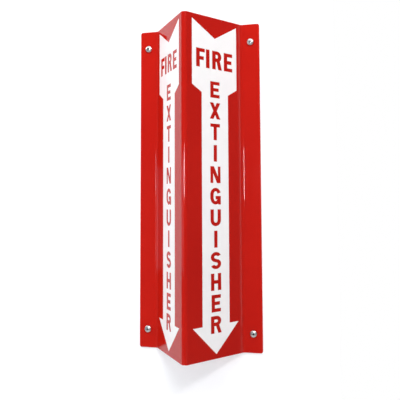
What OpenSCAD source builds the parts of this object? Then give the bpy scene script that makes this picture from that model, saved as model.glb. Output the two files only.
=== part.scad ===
// Projecting wall sign: one sheet of red acrylic, folded three times into a V
// between two narrow flanges, and held to a wall by four pan head screws.
// Z is up, the wall is the plane Y = 0, and the sign stands out towards -Y.
// The origin is in the wall plane, at the middle of the four screws.

/* [Sheet] */
// Height of the sheet
sheet_h = 457.2; // [200:0.1:700]
// Thickness of the sheet
sheet_t = 3; // [2:0.1:5]
// Radius of the corners of the two flanges
corner_r = 3; // [2:0.1:8]
// Easing of the polished edges
edge_ease = 0.4; // [0.2:0.05:0.9]

/* [Folds] */
// Width of each face of the V, from fold line to fold line
face_w = 101.6; // [60:0.1:200]
// Width of each flange, from fold line to outer edge
flange_w = 26; // [22:0.1:60]
// Angle between the two faces
v_angle = 76; // [60:1:110]
// Inside radius of the fold at the nose, on the hollow side
nose_r = 2.5; // [1:0.1:8]
// Inside radius of the folds at the flanges, on the front side
valley_r = 6; // [1:0.1:12]
// Depth by which heat and bending draw in each surface of a fold
fold_thinning = 0.01; // [0.01:0.01:0.1]

/* [Screw holes] */
// Clearance of the screws in the holes, on the diameter
hole_clearance = 0.8; // [0.4:0.1:1.5]
// Distance of the holes from the outer edge of a flange
hole_to_edge = 12.6; // [7:0.1:14]
// Distance of the holes from the top and bottom of the sheet
hole_to_end = 25.8; // [12:0.1:60]

/* [Screws] */
// Diameter over the thread
thread_d = 4.8; // [3.5:0.1:6]
// Diameter of the plain neck, from the head to the back of the sheet
neck_d = 3.8; // [2.5:0.1:4.5]
// Length under the head, with the point
screw_l = 25.4; // [16:0.1:50]
// Length of the point
point_l = 6; // [3:0.1:10]
// Diameter of the head
head_d = 9.4; // [8:0.1:10]
// Height of the head
head_h = 3.4; // [3:0.1:4]
// Radius of the crown of the head
crown_r = 8; // [6:0.1:20]
// Radius of the shoulder round the head
shoulder_r = 1.9; // [0.5:0.1:2.2]
// Width of the cross recess at its mouth, from wing tip to wing tip
recess_w = 4.6; // [4:0.1:5]
// Width of the cross recess at its floor
recess_floor_w = 1.8; // [1.5:0.1:2.5]
// Depth of the cross recess below the top of the head
recess_depth = 2.3; // [1.5:0.1:2.6]
// Thickness of a wing of the cross recess
wing_t = 1.2; // [0.8:0.1:1.5]
// Diameter of the core of the cross recess at its mouth
core_d = 2.3; // [1.8:0.1:3]

/* [Hidden] */
$fn = 96;

// Angle that the sheet turns through at each fold
nose_turn = 180 - v_angle;
valley_turn = nose_turn / 2;
// Radius of the front surface round the nose, concentric with the inside
nose_front_r = nose_r + sheet_t;
// Length that each fold takes from the flats beside it, on the front surface
nose_setback = nose_front_r * tan(nose_turn / 2);
valley_setback = valley_r * tan(valley_turn / 2);
face_flat = face_w - nose_setback - valley_setback;
flange_flat = flange_w - valley_setback - corner_r;
// Half the distance between the two fold lines beside the flanges
fold_x = face_w * sin(v_angle / 2);
// Diameter of the holes, and their places on either side of the middle
hole_d = thread_d + hole_clearance;
hole_x = fold_x + flange_w - hole_to_edge;
hole_z = sheet_h / 2 - hole_to_end;
// Angle by which a fold laps into the flats beside it
lap = 1;
// Amount by which a cutter passes through a surface
over = 1;

// The upright section of the sheet, with its front surface at x = 0 and with
// the arrises of its top and bottom edges eased. It shrinks by inset all round.
module sheet_section(inset = 0) {
    near = inset;
    far = sheet_t - inset;
    end = sheet_h / 2 - inset;
    polygon([
        [near, edge_ease - end], [near + edge_ease, -end],
        [far - edge_ease, -end], [far, edge_ease - end],
        [far, end - edge_ease], [far - edge_ease, end],
        [near + edge_ease, end], [near, end - edge_ease]
    ]);
}

// The level section of an outer edge, from x = 0 to its eased end
module edge_section() {
    polygon([
        [0, 0], [corner_r - edge_ease, 0], [corner_r, edge_ease],
        [corner_r, sheet_t - edge_ease], [corner_r - edge_ease, sheet_t],
        [0, sheet_t]
    ]);
}

// A flat of the sheet, from the origin along +X, with its front towards -Y
module flat(length) {
    rotate([90, 0, 90]) linear_extrude(length) sheet_section();
}

// A fold that starts at the origin along +X. The front surface has radius r,
// and it turns away from the front by the angle, or towards it if negative.
// The fold is drawn in a little, and laps into the flats at its ends.
module fold(turn, r) {
    translate([0, sign(turn) * r, 0])
        rotate(turn > 0 ? -90 - lap : 90 + turn - lap)
            rotate_extrude(angle = abs(turn) + 2 * lap)
                translate([r, 0]) mirror([turn > 0 ? 1 : 0, 0])
                    sheet_section(fold_thinning);
}

// Moves its children past such a fold, and turns them to the next flat
module past_fold(turn, r) {
    centre = [0, sign(turn) * r, 0];
    translate(centre) rotate(turn) translate(-centre) children();
}

// The outer edge of a flange, with its two round corners
module flange_edge() {
    straight = sheet_h - 2 * corner_r;
    translate([0, 0, -straight / 2]) linear_extrude(straight) edge_section();
    for (end = [0, 1])
        mirror([0, 0, end]) translate([0, 0, straight / 2])
            rotate([-90, 0, 0]) rotate_extrude(angle = -90) edge_section();
}

// Half of the sheet, from the middle of the nose to one outer edge
module half_sheet() {
    nose_rise = nose_front_r / sin(v_angle / 2) - nose_front_r;
    translate([0, nose_rise - sheet_t - face_w * cos(v_angle / 2), 0]) {
        fold(nose_turn / 2, nose_front_r);
        past_fold(nose_turn / 2, nose_front_r) {
            flat(face_flat);
            translate([face_flat, 0, 0]) {
                fold(-valley_turn, valley_r);
                past_fold(-valley_turn, valley_r) {
                    flat(flange_flat);
                    translate([flange_flat, 0, 0]) flange_edge();
                }
            }
        }
    }
}

// Puts its children at each of the four holes, on the front of the flanges
module at_holes() {
    for (x = [-hole_x, hole_x], z = [-hole_z, hole_z])
        translate([x, -sheet_t, z]) rotate([-90, 0, 0]) children();
}

module folded_sheet() {
    color([0.78, 0.12, 0.1]) difference() {
        for (side = [0, 1]) mirror([side, 0, 0]) half_sheet();
        at_holes() translate([0, 0, -over])
            cylinder(d = hole_d, h = sheet_t + 2 * over);
    }
}

// The cross recess, from its mouth along +Z: two crossed slots that narrow
// towards the floor, round a tapered core
module cross_recess() {
    intersection() {
        cylinder(d1 = recess_w, d2 = recess_floor_w, h = recess_depth);
        for (turn = [0, 90])
            rotate(turn) translate([-recess_w, -wing_t / 2, -over])
                cube([2 * recess_w, wing_t, recess_depth + 2 * over]);
    }
    cylinder(d1 = core_d, d2 = wing_t, h = recess_depth);
}

// Half the section of the pan head, with its seat at y = 0 and its top at -y
module head_profile() {
    shoulder_y = shoulder_r - head_h;
    intersection() {
        translate([0, -head_h]) square([head_d / 2, head_h]);
        translate([0, crown_r - head_h]) circle(crown_r);
        union() {
            translate([0, shoulder_y]) square([head_d / 2, head_h]);
            translate([head_d / 2 - shoulder_r, shoulder_y]) circle(shoulder_r);
            translate([0, -head_h]) square([head_d / 2 - shoulder_r, head_h]);
        }
    }
}

// One screw along +Z, with the seat of its head at the origin. Its thread is
// drawn as a plain rod, and starts where the screw leaves the sheet.
module pan_head_screw() {
    difference() {
        rotate_extrude() head_profile();
        translate([0, 0, -head_h]) cross_recess();
    }
    cylinder(d = neck_d, h = sheet_t);
    translate([0, 0, sheet_t])
        cylinder(d = thread_d, h = screw_l - point_l - sheet_t);
    translate([0, 0, screw_l - point_l])
        cylinder(d1 = thread_d, d2 = 0, h = point_l);
}

module mounting_screws() {
    color("silver") at_holes() pan_head_screw();
}

folded_sheet();
mounting_screws();
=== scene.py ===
"""A projecting wall sign: red acrylic folded into a V, with a printed arrow, on four screws."""
from math import asin, ceil, cos, pi, radians, sin, sqrt, tan

import bmesh
import bpy
from mathutils import Matrix, Vector
from mathutils.geometry import delaunay_2d_cdt


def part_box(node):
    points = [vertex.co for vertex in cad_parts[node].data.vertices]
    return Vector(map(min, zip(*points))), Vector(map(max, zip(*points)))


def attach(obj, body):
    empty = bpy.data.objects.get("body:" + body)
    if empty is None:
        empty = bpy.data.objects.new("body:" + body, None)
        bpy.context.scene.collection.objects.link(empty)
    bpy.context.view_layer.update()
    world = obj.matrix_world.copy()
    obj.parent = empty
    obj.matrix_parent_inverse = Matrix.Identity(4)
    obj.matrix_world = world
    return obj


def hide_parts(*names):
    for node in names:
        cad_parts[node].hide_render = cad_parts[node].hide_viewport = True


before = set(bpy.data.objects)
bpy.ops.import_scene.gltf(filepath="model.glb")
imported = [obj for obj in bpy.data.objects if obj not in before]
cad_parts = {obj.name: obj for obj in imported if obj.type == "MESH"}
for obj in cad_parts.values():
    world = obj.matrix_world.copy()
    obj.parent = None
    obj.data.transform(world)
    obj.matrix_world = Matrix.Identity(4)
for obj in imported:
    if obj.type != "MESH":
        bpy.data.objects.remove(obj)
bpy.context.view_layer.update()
mm = 0.001

# The camera stands a little below and to the right of the sign, some 77 cm from the wall.
# It looks slightly up, and its lens is shifted so that the sign fills the picture.
photo_w = 400
focal_px, axis_px = 557.47, (214.40, 160.66)
camera_place = (0.20432, -0.76981, -0.02547)
look_left, look_up, lean = radians(13.400), radians(4.200), radians(1.352)
camera_data = bpy.data.cameras.new("camera")
camera_data.sensor_width = 36
camera_data.lens = focal_px / photo_w * camera_data.sensor_width
camera_data.shift_x = (photo_w / 2 - axis_px[0]) / photo_w
camera_data.shift_y = (axis_px[1] - photo_w / 2) / photo_w
camera_data.clip_start, camera_data.clip_end = 0.01, 50
camera = bpy.data.objects.new("camera", camera_data)
camera.location = camera_place
camera.rotation_euler = (
    Matrix.Rotation(lean, 3, "Y") @ Matrix.Rotation(look_up, 3, "X")
    @ Matrix.Rotation(look_left, 3, "Z") @ Matrix.Rotation(pi / 2, 3, "X")
).to_euler()
bpy.context.collection.objects.link(camera)
bpy.context.scene.camera = camera

# The sheet: one piece of 3 mm red acrylic. It is cut to its outline, drilled, and polished
# along its edges while it is flat. Then it is heated along three lines and folded, once at
# the nose of the V and once beside each flange.
sheet_low, sheet_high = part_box("folded_sheet")
sheet_t = 3 * mm
half_h = sheet_high.z
face_w = 101.6 * mm
half_angle = radians(76 / 2)
nose_r = 2.5 * mm + sheet_t
valley_r = 6 * mm
corner_r = 3 * mm
edge_round = 0.4 * mm
hole_r = 2.8 * mm
hole_mouth = 0.25 * mm
hole_to_edge, hole_to_end = 12.6 * mm, 25.8 * mm
fold_step = radians(2)
corner_steps, edge_steps, hole_steps = 12, 4, 48
# The side that a fold stretches draws in by this much at the top and bottom of the sheet.
fold_draw = 0.3 * mm

# The lengths of the folds and flats, along the front of the flat blank from its middle.
turn = pi / 2 - half_angle
nose_arc, valley_arc = nose_r * turn, valley_r * turn
face_flat = face_w - nose_r * tan(turn) - valley_r * tan(turn / 2)
flange_flat = sheet_high.x - face_w * sin(half_angle) - valley_r * tan(turn / 2)
face_start = nose_arc
valley_start = face_start + face_flat
flange_start = valley_start + valley_arc
half_w = flange_start + flange_flat
nose_centre_y = sheet_low.y + nose_r


def fold(s, depth, z):
    """Where a point of the flat blank goes: s along the front from the nose, depth from the front."""
    side, s = (1 if s >= 0 else -1), abs(s)
    outer, drawn = depth / sheet_t, 0
    if s < face_start:
        angle = s / nose_r
        x, y = (nose_r - depth) * sin(angle), nose_centre_y - (nose_r - depth) * cos(angle)
        drawn = (1 - outer) * cos(angle / turn * pi / 2) ** 2
    else:
        along = min(s, valley_start) - face_start
        x = nose_r * sin(turn) + along * cos(turn)
        y = nose_centre_y - nose_r * cos(turn) + along * sin(turn)
        angle = turn
        if s > valley_start:
            bent = min(s - valley_start, valley_arc) / valley_r
            angle = turn - bent
            x += valley_r * (sin(turn) - sin(angle))
            y += valley_r * (cos(angle) - cos(turn))
            drawn = outer * sin(bent / turn * pi) ** 2
        x += max(s - flange_start, 0) - depth * sin(angle)
        y += depth * cos(angle)
    if abs(z) > half_h - corner_r:
        z -= fold_draw * drawn * (1 if z > 0 else -1)
    return Vector((side * x, y, z))


def blank_outline(inset):
    """The outline of the flat blank, drawn in by inset, as points clockwise from the top middle."""
    fold_steps = ceil(turn / fold_step)
    top = [nose_arc * i / fold_steps for i in range(fold_steps + 1)]
    top += [valley_start + valley_arc * i / fold_steps for i in range(fold_steps + 1)]
    quarter = [(s, half_h - inset) for s in top]
    reach = corner_r - inset
    for i in range(corner_steps + 1):
        angle = pi / 2 * i / corner_steps
        s = half_w - corner_r + reach * sin(angle)
        quarter.append((s, half_h - corner_r + reach * cos(angle)))
    right = quarter + [(s, -z) for s, z in reversed(quarter)]
    return right + [(-s, z) for s, z in reversed(right[1:-1])]


def new_object(name, data):
    made = bpy.data.objects.new(name, data)
    bpy.context.collection.objects.link(made)
    return made


def close_shape(name, shape):
    """Turns the faces of a closed shape outwards, and makes it an object."""
    bmesh.ops.recalc_face_normals(shape, faces=shape.faces)
    mesh = bpy.data.meshes.new(name)
    shape.to_mesh(mesh)
    shape.free()
    return new_object(name, mesh)


def settle(made):
    """Makes the object's modifiers part of its mesh."""
    graph = bpy.context.evaluated_depsgraph_get()
    mesh = bpy.data.meshes.new_from_object(made.evaluated_get(graph))
    made.modifiers.clear()
    made.data = mesh
    mesh.name = made.name


def even_shading(made, sharp_angle):
    """Smooth shading that keeps the flats flat beside their rounded edges."""
    made.data.polygons.foreach_set("use_smooth", [True] * len(made.data.polygons))
    made.data.set_sharp_from_angle(angle=radians(sharp_angle))
    even = made.modifiers.new("even shading", "WEIGHTED_NORMAL")
    even.keep_sharp = True
    settle(made)


def cut(made, cutter, crossed=False):
    """Takes the cutter out of the object. A crossed cutter is one whose parts overlap."""
    cutting = made.modifiers.new("cut", "BOOLEAN")
    cutting.operation, cutting.solver, cutting.object = "DIFFERENCE", "EXACT", cutter
    cutting.use_self = crossed
    settle(made)
    bpy.data.objects.remove(cutter)


def revolve(shape, profile, steps):
    """Turns a profile of (radius, y) points round the Y axis. Returns the rings of vertices."""
    turns = [2 * pi * i / steps for i in range(steps)]
    rings = []
    for radius, y in profile:
        if radius == 0:
            rings.append([shape.verts.new((0, y, 0))] * steps)
        else:
            rings.append([shape.verts.new((radius * cos(a), y, radius * sin(a))) for a in turns])
    for near, far in zip(rings, rings[1:]):
        for i in range(steps):
            j = (i + 1) % steps
            corners = dict.fromkeys([near[i], near[j], far[j], far[i]])
            shape.faces.new(list(corners))
    return rings


# The blank, as loops from its front to its back. The front and the back are strips from top
# to bottom, so that they bend along the folds.
blank = bmesh.new()
edge_turns = [pi / 2 * i / edge_steps for i in range(edge_steps + 1)]
rim = [(edge_round * (1 - sin(a)), edge_round * (1 - cos(a))) for a in edge_turns]
levels = rim + [(inset, sheet_t - depth) for inset, depth in reversed(rim)]
loops = [[blank.verts.new((s, depth, z)) for s, z in blank_outline(inset)] for inset, depth in levels]
count = len(loops[0])
for near, far in zip(loops, loops[1:]):
    for i in range(count):
        j = (i + 1) % count
        blank.faces.new([near[i], near[j], far[j], far[i]])
for loop in (loops[0], loops[-1]):
    right = loop[:count // 2 + 1]
    left = [loop[0]] + loop[:count // 2 - 1:-1]
    for half in (right, left):
        for i in range(len(half) // 2 - 1):
            blank.faces.new([half[i], half[i + 1], half[-2 - i], half[-1 - i]])
sheet = close_shape("folded_acrylic_sheet", blank)

# The four holes, each with its mouths a little countersunk.
drill = bmesh.new()
mouth_r = hole_r + 2 * hole_mouth
drill_profile = [
    (0, -hole_mouth), (mouth_r, -hole_mouth), (hole_r, hole_mouth),
    (hole_r, sheet_t - hole_mouth), (mouth_r, sheet_t + hole_mouth), (0, sheet_t + hole_mouth)
]
for across in (-1, 1):
    for up in (-1, 1):
        ring_verts = {v for ring in revolve(drill, drill_profile, hole_steps) for v in ring}
        place = Vector((across * (half_w - hole_to_edge), 0, up * (half_h - hole_to_end)))
        bmesh.ops.translate(drill, verts=list(ring_verts), vec=place)
cut(sheet, close_shape("drill", drill))

# The cut edges and the holes are marked 1, and the front and the back 0, while it is flat.
# The faces marked 1 are painted a lighter red, a painted glow of the light the edges gather.
level_enough = 0.99
edge_glow_faces = [0.0 if abs(face.normal.y) > level_enough else 1.0 for face in sheet.data.polygons]
sheet.data.attributes.new("polished_edge", "FLOAT", "FACE").data.foreach_set("value", edge_glow_faces)
for vertex in sheet.data.vertices:
    vertex.co = fold(vertex.co.x, vertex.co.y, vertex.co.z)
sheet.data.update()
even_shading(sheet, sharp_angle=40)


class Wire:
    """An output of a node, so that shader maths reads as arithmetic. | is the larger of two."""

    def __init__(self, nodes, socket):
        self.nodes, self.socket = nodes, socket

    def math(self, operation, other):
        return self.nodes.add("ShaderNodeMath", {"operation": operation}, {0: self, 1: other})

    def __add__(self, other):
        return self.math("ADD", other)

    def __mul__(self, other):
        return self.math("MULTIPLY", other)

    def __or__(self, other):
        return self.math("MAXIMUM", other)

    __radd__, __rmul__, __ror__ = __add__, __mul__, __or__


class Nodes:
    """A node tree that is filled by one method."""

    def __init__(self, tree):
        self.tree = tree
        tree.nodes.clear()

    def socket(self, sockets, key):
        """The socket with this number, or else this identifier or name."""
        if isinstance(key, int):
            return sockets[key]
        return next(socket for socket in sockets if key in (socket.identifier, socket.name))

    def add(self, kind, settings=None, sockets=None, out=0):
        """Adds a node: its settings first, then the values or links of its sockets."""
        made = self.tree.nodes.new(kind)
        for name, value in (settings or {}).items():
            setattr(made, name, value)
        for key, value in (sockets or {}).items():
            target = self.socket(made.inputs, key)
            if isinstance(value, Wire):
                self.tree.links.new(value.socket, target)
            else:
                target.default_value = value
        if made.outputs:
            return Wire(self, self.socket(made.outputs, out))

    def noise(self, place, scale, detail=2.0):
        sockets = {"Vector": place, "Scale": scale, "Detail": detail}
        return self.add("ShaderNodeTexNoise", {}, sockets)

    def between(self, value, low, high, to_low=0.0, to_high=1.0):
        """The value, taken from one range to another and kept inside it."""
        sockets = {
            "Value": value, "From Min": low, "From Max": high, "To Min": to_low, "To Max": to_high
        }
        return self.add("ShaderNodeMapRange", {}, sockets)

    def mix(self, factor, first, second):
        """A colour between two, each of them a link or red, green and blue."""
        pair = [c if isinstance(c, Wire) else (*c, 1) for c in (first, second)]
        sockets = {"Factor_Float": factor, "A_Color": pair[0], "B_Color": pair[1]}
        return self.add("ShaderNodeMix", {"data_type": "RGBA"}, sockets, "Result_Color")

    def stretched(self, scale):
        """Object coordinates, scaled along each axis."""
        place = self.add("ShaderNodeTexCoord", out="Object")
        return self.add("ShaderNodeMapping", {}, {"Vector": place, "Scale": scale})

    def mark(self, attribute):
        """A value that is stored in the mesh."""
        return self.add("ShaderNodeAttribute", {"attribute_name": attribute}, out="Fac")

    def bump(self, height, strength, distance):
        sockets = {"Strength": strength, "Distance": distance, "Height": height}
        return self.add("ShaderNodeBump", {}, sockets, "Normal")

    def surface(self, colour, roughness, **more):
        """Makes the finish, from its colour and roughness and any other sockets."""
        sockets = {"Base Color": colour, "Roughness": roughness, **more}
        shader = self.add("ShaderNodeBsdfPrincipled", {}, sockets)
        self.add("ShaderNodeOutputMaterial", {}, {"Surface": shader})


def new_finish(name):
    material = bpy.data.materials.new(name)
    material.use_nodes = True
    return material, Nodes(material.node_tree)


# Glossy cast acrylic, coloured through. Its face has the faint waviness of cast sheet and
# hairline marks of wiping. The polished edges get a painted glow: a lighter red for the light they
# gather.
deep_red, light_red = (0.456, 0.0064, 0.0022), (0.494, 0.0086, 0.0032)
painted_glow_red = (0.58, 0.015, 0.008)
acrylic, nodes = new_finish("red_acrylic")
place = nodes.stretched((1, 1, 1))
cloud = nodes.between(nodes.noise(place, scale=9), 0.3, 0.7)
colour = nodes.mix(cloud, deep_red, light_red)
# The cut edges and hole walls get the painted glow, a lighter red.
colour = nodes.mix(nodes.mark("polished_edge"), colour, painted_glow_red)
wipe = nodes.between(nodes.noise(nodes.stretched((60, 60, 900)), scale=1, detail=3), 0.55, 0.8)
dull = nodes.between(nodes.noise(place, scale=35, detail=4), 0.35, 0.75)
roughness = 0.045 + 0.02 * dull + 0.03 * wipe
wave = nodes.noise(nodes.stretched((1, 1, 0.5)), scale=28, detail=1)
waviness = nodes.bump(wave, strength=0.06, distance=0.2 * mm)
nodes.surface(colour, roughness, Normal=waviness, IOR=1.49)
sheet.data.materials.clear()
sheet.data.materials.append(acrylic)
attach(sheet, "root")
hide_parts("folded_sheet")

# The arrow on each face: white ink, screened on in one pass before folding. The words are
# left open in the ink, so they show the red of the sheet. They are a plain safety legend,
# set across the tail of the arrow and then down its shaft.
ink_t = 0.06 * mm
ink_hold = 0.04 * mm
arrow_u = 53.4 * mm
# The artwork is in millimetres, from the middle line of the arrow and the middle of the sheet.
tail_half, shaft_half, head_half = 38.7, 22.8, 38.5
tail_top, notch_z, tail_end, shaft_top = 221.7, 199.3, 132.4, 123.2
head_z, tip_z = -184.9, -222.3
ink_corner = 0.5
soft_steps, bow_steps = 4, 24
# Each letter across the tail has its left edge and width, and each one down the shaft has
# its width and the height of its middle.
word_cap, word_z, word_stroke = 25.6, 169.7, 6.2
word_letters = [("F", -31.9, 14.8), ("I", -15.3, word_stroke), ("R", -4.6, 16.9), ("E", 16.0, 15.3)]
stack_cap, stack_stroke = 22.4, 5.7
stack_letters = [
    ("E", 16.2, 128.7), ("X", 18.4, 99.7), ("T", 16.6, 71.0), ("I", stack_stroke, 42.0),
    ("N", 17.4, 13.2), ("G", 18.2, -15.6), ("U", 17.8, -44.4), ("I", stack_stroke, -72.8),
    ("S", 17.6, -101.0), ("H", 17.4, -129.0), ("E", 15.8, -156.9), ("R", 18.0, -184.4)
]


def bow(cx, cy, rx, ry, start, end, stroke, level):
    """A band round part of an ellipse, as wide as stroke at its sides and as level at its top."""
    angles = [radians(start + (end - start) * i / bow_steps) for i in range(bow_steps + 1)]
    outer = [(cx + rx * cos(a), cy + ry * sin(a)) for a in angles]
    inner = [(cx + (rx - stroke) * cos(a), cy + (ry - level) * sin(a)) for a in reversed(angles)]
    return outer + inner


def bar(left, right, low, high):
    return [(left, low), (right, low), (right, high), (left, high)]


def slant(low_left, top_left, low, high, wide):
    return [(low_left, low), (low_left + wide, low), (top_left + wide, high), (top_left, high)]


def letter(kind, w, h, t):
    """The strokes of one plain block capital, w wide, h high and t thick, from its lower left."""
    level = 0.81 * t
    half, middle = w / 2, (h - level) / 2
    stem, top, foot = bar(0, t, 0, h), bar(0, w, h - level, h), bar(0, w, 0, level)
    if kind == "I":
        return [stem]
    if kind == "F":
        low = middle - 0.02 * h
        return [stem, top, bar(0, 0.88 * w, low, low + level)]
    if kind == "E":
        return [stem, top, foot, bar(0, 0.9 * w, middle, middle + level)]
    if kind == "H":
        return [stem, bar(w - t, w, 0, h), bar(0, w, middle, middle + level)]
    if kind == "T":
        return [top, bar(half - t / 2, half + t / 2, 0, h)]
    if kind == "X":
        wide = 1.1 * t
        return [slant(0, w - wide, 0, h, wide), slant(w - wide, 0, 0, h, wide)]
    if kind == "N":
        wide = 1.1 * t
        return [bar(0, 0.84 * t, 0, h), bar(w - 0.8 * t, w, 0, h), slant(w - wide, 0, 0, h, wide)]
    if kind == "U":
        ry = 0.36 * h
        return [bar(0, t, ry, h), bar(w - t, w, ry, h), bow(half, ry, half, ry, 180, 360, t, level)]
    if kind == "R":
        bowl, rx, leg = 0.58 * h, 0.46 * w, 1.02 * t
        bowl_x = 0.96 * w - rx
        return [
            stem, bar(0, bowl_x, h - level, h), bar(0, bowl_x, h - bowl, h - bowl + level),
            bow(bowl_x, h - bowl / 2, rx, bowl / 2, -90, 90, t, level),
            slant(w - leg, 0.42 * w, 0, h - bowl + level / 2, leg)
        ]
    if kind == "G":
        ry, shelf = 0.43 * h, 0.51 * h
        return [
            bow(half, h - ry, half, ry, 20, 180, t, level), bar(0, t, ry, h - ry),
            bow(half, ry, half, ry, 180, 345, t, level),
            bar(w - 0.8 * t, w, 0, shelf), bar(0.5 * w, w, shelf - level, shelf)
        ]
    # The S: two bows that end at the same slope, with a straight spine between them.
    ry, join = 0.298 * h, radians(250)
    start = Vector((half + (half - t / 2) * cos(join), h - ry + (ry - level / 2) * sin(join)))
    end = Vector((w, h)) - start
    along = end - start
    across = Vector((along.y, -along.x)).normalized() * level / 2
    return [
        bow(half, h - ry, half, ry, 22, 252, t, level),
        [tuple(p) for p in (start - across, start + across, end + across, end - across)],
        bow(half, ry, half, ry, 72, -158, t, level)
    ]


def shifted(shapes, x, y):
    return [[(x + a, y + b) for a, b in shape] for shape in shapes]


def softened(points, radius):
    """The polygon with each corner cut to a small curve, as a screen prints it."""
    soft = []
    for i, point in enumerate(points):
        here, before, after = Vector(point), Vector(points[i - 1]), Vector(points[(i + 1) % len(points)])
        first = here + (before - here).normalized() * radius
        last = here + (after - here).normalized() * radius
        for k in range(soft_steps + 1):
            a = k / soft_steps
            soft.append(tuple((1 - a) ** 2 * first + 2 * a * (1 - a) * here + a * a * last))
    return soft


def ink_triangles(outline, openings):
    """The outline without its openings, as points and triangles on the flat sheet."""
    points, shapes = [], []
    for shape in [outline] + openings:
        area = sum(a[0] * b[1] - b[0] * a[1] for a, b in zip(shape, shape[1:] + shape[:1]))
        ordered = shape if area > 0 else shape[::-1]
        shapes.append(list(range(len(points), len(points) + len(ordered))))
        points += [Vector(p) for p in ordered]
    inside_only, join_within = 1, 1e-4
    spots, _, faces, _, _, sources = delaunay_2d_cdt(points, [], shapes, inside_only, join_within)
    return spots, [face for face, named in zip(faces, sources) if list(named) == [0]]


right_edge = [
    (tail_half, tail_top), (tail_half, tail_end), (shaft_half, shaft_top),
    (shaft_half, head_z), (head_half, head_z)
]
arrow = [(0, notch_z)] + right_edge + [(0, tip_z)] + [(-a, z) for a, z in reversed(right_edge)]
openings = []
for kind, left, wide in word_letters:
    openings += shifted(letter(kind, wide, word_cap, word_stroke), left, word_z - word_cap / 2)
for kind, wide, middle_z in stack_letters:
    shapes = letter(kind, wide, stack_cap, stack_stroke)
    openings += shifted(shapes, -wide / 2, middle_z - stack_cap / 2)
ink_spots, ink_faces = ink_triangles(softened(arrow, ink_corner), openings)

# Satin screen ink, a little thinner in places, with the fine mark of the screen's mesh.
full_white, thin_white = (0.938, 0.903, 0.893), (0.912, 0.875, 0.865)
ink, nodes = new_finish("white_ink")
place = nodes.stretched((1, 1, 1))
thin = nodes.between(nodes.noise(place, scale=60, detail=3), 0.2, 0.8)
colour = nodes.mix(thin, full_white, thin_white)
mesh_mark = nodes.bump(nodes.noise(place, scale=2600, detail=1), strength=0.15, distance=0.03 * mm)
nodes.surface(colour, 0.22 + 0.04 * thin, Normal=mesh_mark, IOR=1.45)

# Each arrow is a plate as thick as the ink, which reaches a little way into the sheet.
arrow_s = face_start + arrow_u - nose_r * tan(turn)
for side, name in ((1, "printed_arrow_right"), (-1, "printed_arrow_left")):
    plate = bmesh.new()
    front, back = [
        [plate.verts.new(fold(side * arrow_s + p.x * mm, depth, p.y * mm)) for p in ink_spots]
        for depth in (-ink_t, ink_hold)
    ]
    for a, b, c in ink_faces:
        plate.faces.new([front[a], front[b], front[c]])
        plate.faces.new([back[c], back[b], back[a]])
    partner = dict(zip(front, back))
    for edge in [edge for edge in plate.edges if edge.is_boundary and edge.verts[0] in partner]:
        loop = edge.link_loops[0]
        a, b = loop.vert, loop.link_loop_next.vert
        plate.faces.new([b, a, partner[a], partner[b]])
    loose = [v for v in plate.verts if not v.link_faces]
    bmesh.ops.delete(plate, geom=loose, context="VERTS")
    arrow_print = close_shape(name, plate)
    arrow_print.data.materials.append(ink)
    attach(arrow_print, "root")

# The screws: four pan heads of bright zinc plated steel, driven by a cross bit. The head is
# cold formed and the thread is rolled. Each one is left where it came tight, so the crosses
# stand at different angles.
head_r, head_h, crown_r, head_fillet = 4.7 * mm, 3.4 * mm, 8 * mm, 1.2 * mm
head_ease = 0.15 * mm
neck_r, root_r, crest_r, pitch = 1.9 * mm, 1.7 * mm, 2.4 * mm, 1.6 * mm
screw_l, point_l = 25.4 * mm, 6 * mm
recess_half, recess_floor_half, recess_depth = 2.3 * mm, 0.9 * mm, 2.3 * mm
wing_t, wing_floor_t, core_r, core_tip = 1.2 * mm, 0.8 * mm, 1.15 * mm, 0.3 * mm
crown_steps, fillet_steps, round_steps, core_steps = 10, 8, 64, 24
hole_x, hole_z = sheet_high.x - hole_to_edge, half_h - hole_to_end
turn_seed = 5

# The head and the neck: half a section, turned round. The crown runs into a round shoulder.
screw_shape = bmesh.new()
crown_centre, fillet_x = crown_r - head_h, head_r - head_fillet
fillet_y = crown_centre - sqrt((crown_r - head_fillet) ** 2 - fillet_x ** 2)
crown_end = asin(fillet_x / (crown_r - head_fillet))
head_profile = [(0, -head_h)]
for i in range(1, crown_steps + 1):
    angle = crown_end * i / crown_steps
    head_profile.append((crown_r * sin(angle), crown_centre - crown_r * cos(angle)))
for i in range(1, fillet_steps + 1):
    angle = crown_end + (pi / 2 - crown_end) * i / fillet_steps
    head_profile.append((fillet_x + head_fillet * sin(angle), fillet_y - head_fillet * cos(angle)))
head_profile += [(head_r, -head_ease), (head_r - head_ease, 0), (neck_r, 0), (neck_r, sheet_t)]
revolve(screw_shape, head_profile, round_steps)

# The thread: rows of points that climb one pitch a turn. The ridge says how far out each row
# stands. The thread grows out of the neck over one pitch, and runs out along the point.
ridge = [0, 0, 0.1, 0.55, 1, 1, 0.55, 0.1]
rows_per_turn = len(ridge)
rows = range(-rows_per_turn, ceil((screw_l - sheet_t) / pitch * rows_per_turn) + 1)
thread = {}
for i in range(round_steps):
    angle = 2 * pi * i / round_steps
    for row in range(rows.start, rows.stop + rows_per_turn):
        y = sheet_t + pitch * (row / rows_per_turn + i / round_steps)
        taper = min(max((screw_l - y) / point_l, 0), 1)
        rise = min(max((y - sheet_t) / pitch, 0), 1)
        core = neck_r + (root_r - neck_r) * rise
        radius = taper * (core + (crest_r - core) * ridge[row % rows_per_turn] * rise)
        y = min(max(y, sheet_t), screw_l)
        thread[i, row] = screw_shape.verts.new((radius * cos(angle), y, radius * sin(angle)))
for i in range(round_steps):
    j, shift = ((i + 1) % round_steps, rows_per_turn if i == round_steps - 1 else 0)
    for row in rows[:-1]:
        near = [thread[i, row], thread[i, row + 1]]
        screw_shape.faces.new(near + [thread[j, row + 1 + shift], thread[j, row + shift]])
same_point = 1e-6
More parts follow.
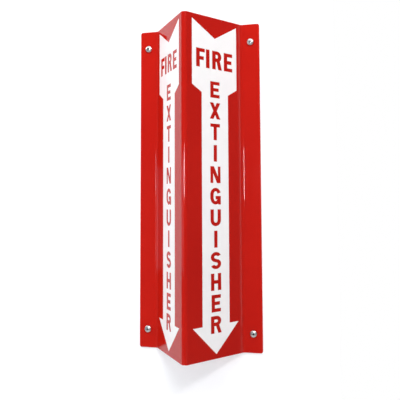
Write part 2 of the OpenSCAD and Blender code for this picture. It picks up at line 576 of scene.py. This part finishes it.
bmesh.ops.remove_doubles(screw_shape, verts=screw_shape.verts, dist=same_point)
bmesh.ops.dissolve_degenerate(screw_shape, edges=screw_shape.edges, dist=same_point)
loose = [v for v in screw_shape.verts if not v.link_faces]
bmesh.ops.delete(screw_shape, geom=loose, context="VERTS")
one_screw = close_shape("screw", screw_shape)

# The punch that forms the cross: two crossed wedges and a tapered core.
punch = bmesh.new()
top_y, floor_y = -head_h - 0.5 * mm, recess_depth - head_h
wing_levels = [
    (top_y, recess_half, wing_t), (-head_h, recess_half, wing_t),
    (floor_y, recess_floor_half, wing_floor_t)
]
for crosswise in (False, True):
    corners = []
    for y, reach, thick in wing_levels:
        flat = [(reach, thick / 2), (-reach, thick / 2), (-reach, -thick / 2), (reach, -thick / 2)]
        corners.append([punch.verts.new((b, y, a) if crosswise else (a, y, -b)) for a, b in flat])
    punch.faces.new(corners[0])
    punch.faces.new(corners[-1][::-1])
    for near, far in zip(corners, corners[1:]):
        for i in range(4):
            j = (i + 1) % 4
            punch.faces.new([near[i], far[i], far[j], near[j]])
core_profile = [
    (0, top_y), (core_r, top_y), (core_r, -head_h), (wing_floor_t / 2, floor_y), (0, floor_y + core_tip)
]
revolve(punch, core_profile, core_steps)
cut(one_screw, close_shape("punch", punch), crossed=True)
even_shading(one_screw, sharp_angle=32)

# How dark each point is: painted shade and dirt, most deep in the cross, and some in the thread and at
# the rim.
# The cross, the thread root and the underside of the rim are given painted shade, with some dirt.
thread_shade_and_grime, rim_shade_and_grime = 0.55, 0.55
shade = []
for vertex in one_screw.data.vertices:
    x, y, z = vertex.co
    radius = sqrt(x * x + z * z)
    crown_y = crown_centre - sqrt(crown_r ** 2 - min(radius, head_r) ** 2)
    in_cross = radius < recess_half + 0.1 * mm and y < -0.5 * mm
    in_thread = radius < root_r + 0.15 * mm and y > sheet_t
    at_rim = radius > head_r - 0.3 * mm and -0.7 * mm < y < 0.01 * mm
    cross_shade_and_grime = (y - crown_y) / recess_depth
    dull = max(0, in_cross * cross_shade_and_grime, in_thread * thread_shade_and_grime, at_rim * rim_shade_and_grime)
    shade.append(min(dull, 1))
one_screw.data.attributes.new("shade", "FLOAT", "POINT").data.foreach_set("value", shade)

# Bright zinc plate with a fine mottle. Where a cloth does not reach it is darkened by old dirt and by
# painted shade.
bright, mottled, shade_and_grime_dark = (0.62, 0.62, 0.61), (0.46, 0.46, 0.46), (0.06, 0.06, 0.06)
zinc, nodes = new_finish("bright_zinc")
mottle = nodes.between(nodes.noise(nodes.stretched((1, 1, 1)), scale=900, detail=4), 0.3, 0.7)
shade_and_grime = nodes.mark("shade")
# The shade mark darkens the colour: painted shade, with some dirt.
colour = nodes.mix(shade_and_grime, nodes.mix(mottle, bright, mottled), shade_and_grime_dark)
roughness = 0.3 + 0.12 * mottle + 0.1 * shade_and_grime
grain = nodes.bump(mottle, strength=0.2, distance=0.02 * mm)
nodes.surface(colour, roughness, Normal=grain, Metallic=1.0)

# The tree that puts a screw at each corner of a grid, and gives each one its own turn.
placing = bpy.data.node_groups.new("screws in the four holes", "GeometryNodeTree")
identifiers = {}
for name, kind in (
    ("Geometry", "NodeSocketGeometry"), ("Screw", "NodeSocketObject"), ("Across", "NodeSocketFloat"),
    ("Up", "NodeSocketFloat"), ("Sheet thickness", "NodeSocketFloat"), ("Seed", "NodeSocketInt"),
    ("Finish", "NodeSocketMaterial")
):
    socket = placing.interface.new_socket(name, in_out="INPUT", socket_type=kind)
    identifiers[name] = socket.identifier
placing.interface.new_socket("Geometry", in_out="OUTPUT", socket_type="NodeSocketGeometry")
nodes = Nodes(placing)


def given(name):
    return nodes.add("NodeGroupInput", out=name)


corners = nodes.add("GeometryNodeMeshGrid", {}, {
    "Size X": given("Across"), "Size Y": given("Up"), "Vertices X": 2, "Vertices Y": 2
}, "Mesh")
to_front = nodes.add("ShaderNodeCombineXYZ", {}, {"Y": given("Sheet thickness") * -1})
corners = nodes.add("GeometryNodeTransform", {}, {
    "Geometry": corners, "Translation": to_front, "Rotation": (pi / 2, 0, 0)
})
shape = nodes.add("GeometryNodeObjectInfo", {}, {"Object": given("Screw")}, "Geometry")
turned = nodes.add("FunctionNodeRandomValue", {"data_type": "FLOAT_VECTOR"}, {
    "Min": (0, 0, 0), "Max": (0, pi / 2, 0), "Seed": given("Seed")
})
spots = nodes.add("GeometryNodeInstanceOnPoints", {}, {
    "Points": corners, "Instance": shape, "Rotation": turned
})
solid = nodes.add("GeometryNodeRealizeInstances", {}, {"Geometry": spots})
solid = nodes.add("GeometryNodeSetMaterial", {}, {"Geometry": solid, "Material": given("Finish")})
nodes.add("NodeGroupOutput", {}, {0: solid})

screws = new_object("pan_head_screws", bpy.data.meshes.new("pan_head_screws"))
fitting = screws.modifiers.new("fitting", "NODES")
fitting.node_group = placing
for name, value in (
    ("Screw", one_screw), ("Across", 2 * hole_x), ("Up", 2 * hole_z), ("Sheet thickness", sheet_t),
    ("Seed", turn_seed), ("Finish", zinc)
):
    fitting[identifiers[name]] = value
settle(screws)
bpy.data.objects.remove(one_screw)
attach(screws, "root")
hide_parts("mounting_screws")

# The room: a white board that the sign is screwed to, which ends just beside it, and a pale
# floor below. The board is painted on one side only, so that the back of the sign can be
# looked at through it.
wall_left, wall_right, wall_top, wall_gap = -1.2, 0.19, 1.5, 0.2 * mm
floor_z, floor_half = -0.95, 2.6
wall_glow, wall_glow_mirrored, floor_glow = 0.485, 0.14, 0.45


def plane(name, corners, material):
    mesh = bpy.data.meshes.new(name)
    mesh.from_pydata(corners, [], [range(len(corners))])
    made = new_object(name, mesh)
    mesh.materials.append(material)


def is_ray(kind):
    """1 where the surface is met by a ray of this kind."""
    return nodes.add("ShaderNodeLightPath", out=f"Is {kind} Ray")


paint, nodes = new_finish("wall_paint")
mirrored = is_ray("Glossy") | is_ray("Transmission")
glow = wall_glow * is_ray("Camera") + wall_glow_mirrored * mirrored
rough = nodes.noise(nodes.stretched((1, 1, 1)), scale=40, detail=3)
tone = nodes.mix(rough, (0.54, 0.54, 0.54), (0.56, 0.56, 0.56))
matt = nodes.add("ShaderNodeBsdfDiffuse", {}, {"Color": tone})
lit = nodes.add("ShaderNodeEmission", {}, {"Color": (0.985, 0.97, 1, 1), "Strength": glow})
painted = nodes.add("ShaderNodeAddShader", {}, {0: matt, 1: lit})
clear = nodes.add("ShaderNodeBsdfTransparent")
let_through = nodes.add("ShaderNodeNewGeometry", out="Backfacing") | is_ray("Shadow")
one_sided = nodes.add("ShaderNodeMixShader", {}, {0: let_through, 1: painted, 2: clear})
nodes.add("ShaderNodeOutputMaterial", {}, {"Surface": one_sided})
plane("wall", [
    (wall_left, wall_gap, floor_z), (wall_right, wall_gap, floor_z),
    (wall_right, wall_gap, wall_top), (wall_left, wall_gap, wall_top)
], paint)

cover, nodes = new_finish("floor_cover")
speck = nodes.noise(nodes.stretched((1, 1, 1)), scale=25, detail=4)
tone = nodes.mix(speck, (0.74, 0.74, 0.74), (0.78, 0.78, 0.78))
matt = nodes.add("ShaderNodeBsdfPrincipled", {}, {"Base Color": tone, "Roughness": 0.6})
glow = floor_glow * is_ray("Camera")
lit = nodes.add("ShaderNodeEmission", {}, {"Color": (1, 1, 1, 1), "Strength": glow})
covered = nodes.add("ShaderNodeAddShader", {}, {0: matt, 1: lit})
nodes.add("ShaderNodeOutputMaterial", {}, {"Surface": covered})
plane("floor", [
    (-floor_half, -floor_half, floor_z), (floor_half, -floor_half, floor_z),
    (floor_half, wall_gap, floor_z), (-floor_half, wall_gap, floor_z)
], cover)

# The light: a soft key above and to the right, with fainter lamps above, to both sides and
# behind. Four low ones put the lines of light in the folds and the shine beside the left one.
# Each has its bearing from the sign in degrees, height, distance, size, power and colour.
lamps = [
    ("key", 24, 0.95, 1.7, (0.6, 0.25), 20.2, (1, 1, 1)),
    ("top", -10, 1.3, 0.95, (1.8, 1.0), 13.8, (0.97, 0.98, 1)),
    ("left", -76, 1.4, 2.2, (0.9, 0.7), 25.5, (1, 1, 1)),
    ("right", 50, 1.0, 0.9, (0.5, 0.4), 1.8, (1, 1, 1)),
    ("back", 160, 0.9, 1.7, (1.2, 1.2), 30, (1, 1, 1)),
    ("fold_line_left", -30, 0.1, 1.55, (0.2, 0.17), 0.95, (0.5, 0.86, 1)),
    ("fold_line_right", 0, 0.1, 1.6, (0.12, 0.2), 4.2, (0.8, 0.94, 1)),
    ("low_line_left", -27, -0.09, 1.6, (0.1, 0.44), 0.6, (1, 1, 1)),
    ("low_left", -72, -0.085, 1.6, (1.0, 0.43), 1.34, (0.8, 0.87, 1)),
]
for name, bearing, height, distance, size, power, tint in lamps:
    lamp_data = bpy.data.lights.new(name, "AREA")
    lamp_data.shape = "RECTANGLE"
    lamp_data.size, lamp_data.size_y = size
    lamp_data.energy, lamp_data.color = power, tint
    lamp = new_object(name, lamp_data)
    lamp.location = (distance * sin(radians(bearing)), -distance * cos(radians(bearing)), height)
    lamp.rotation_euler = (-lamp.location).to_track_quat("-Z", "Y").to_euler()

# The world is white where it is looked at, and where it is mirrored from behind the sign. It
# lights the sign, and shows in its gloss from the front, much more faintly.
world_dim, world_white = 0.15, 1
world = bpy.data.worlds.new("studio")
bpy.context.scene.world = world
world.use_nodes = True
nodes = Nodes(world.node_tree)
direction = nodes.add("ShaderNodeTexCoord", out="Generated")
towards_wall = nodes.add("ShaderNodeSeparateXYZ", {}, {0: direction}, "Y")
behind = nodes.between(towards_wall, 0.3, 0.45)
white = is_ray("Camera") | is_ray("Transmission") | is_ray("Glossy") * behind
strength = nodes.between(white, 0, 1, world_dim, world_white)
sky = nodes.mix(white, (0.86, 0.87, 0.96), (1, 1, 1))
light = nodes.add("ShaderNodeBackground", {}, {"Color": sky, "Strength": strength})
nodes.add("ShaderNodeOutputWorld", {}, {"Surface": light})
bpy.context.scene.view_settings.view_transform = "Standard"
